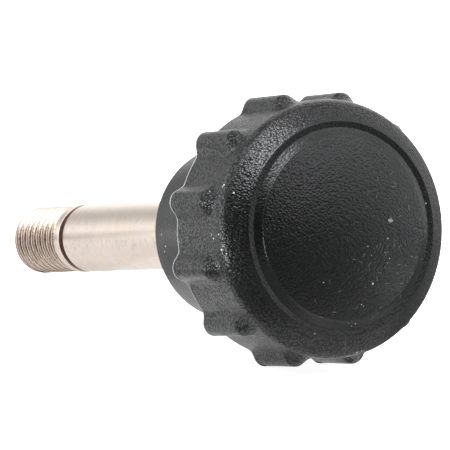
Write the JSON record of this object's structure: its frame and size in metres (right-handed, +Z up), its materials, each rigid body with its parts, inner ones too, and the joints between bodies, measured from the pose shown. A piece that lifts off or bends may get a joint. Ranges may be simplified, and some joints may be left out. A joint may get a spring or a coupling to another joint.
{
  "type": "knurled knob",
  "caption": "Hand knob with a lobed moulded grip, a domed cap with a stepped ring, a round hub, and a long metal stud with a ring groove and a short threaded end.",
  "frame": {"origin": "on the floor, under the middle of the box round the knob as it lies", "axes": "+Z up, +X from the stud's threaded end towards the domed cap along the floor, +Y to the side"},
  "size_m": [0.089, 0.039, 0.0398],
  "materials": {
    "black_moulding": "fine leather grain",
    "stud_metal": "turned, warm plated"
  },
  "bodies": {
    "root": {"knob_head": "black_moulding", "stud": "stud_metal"}
  },
  "joints": []
}
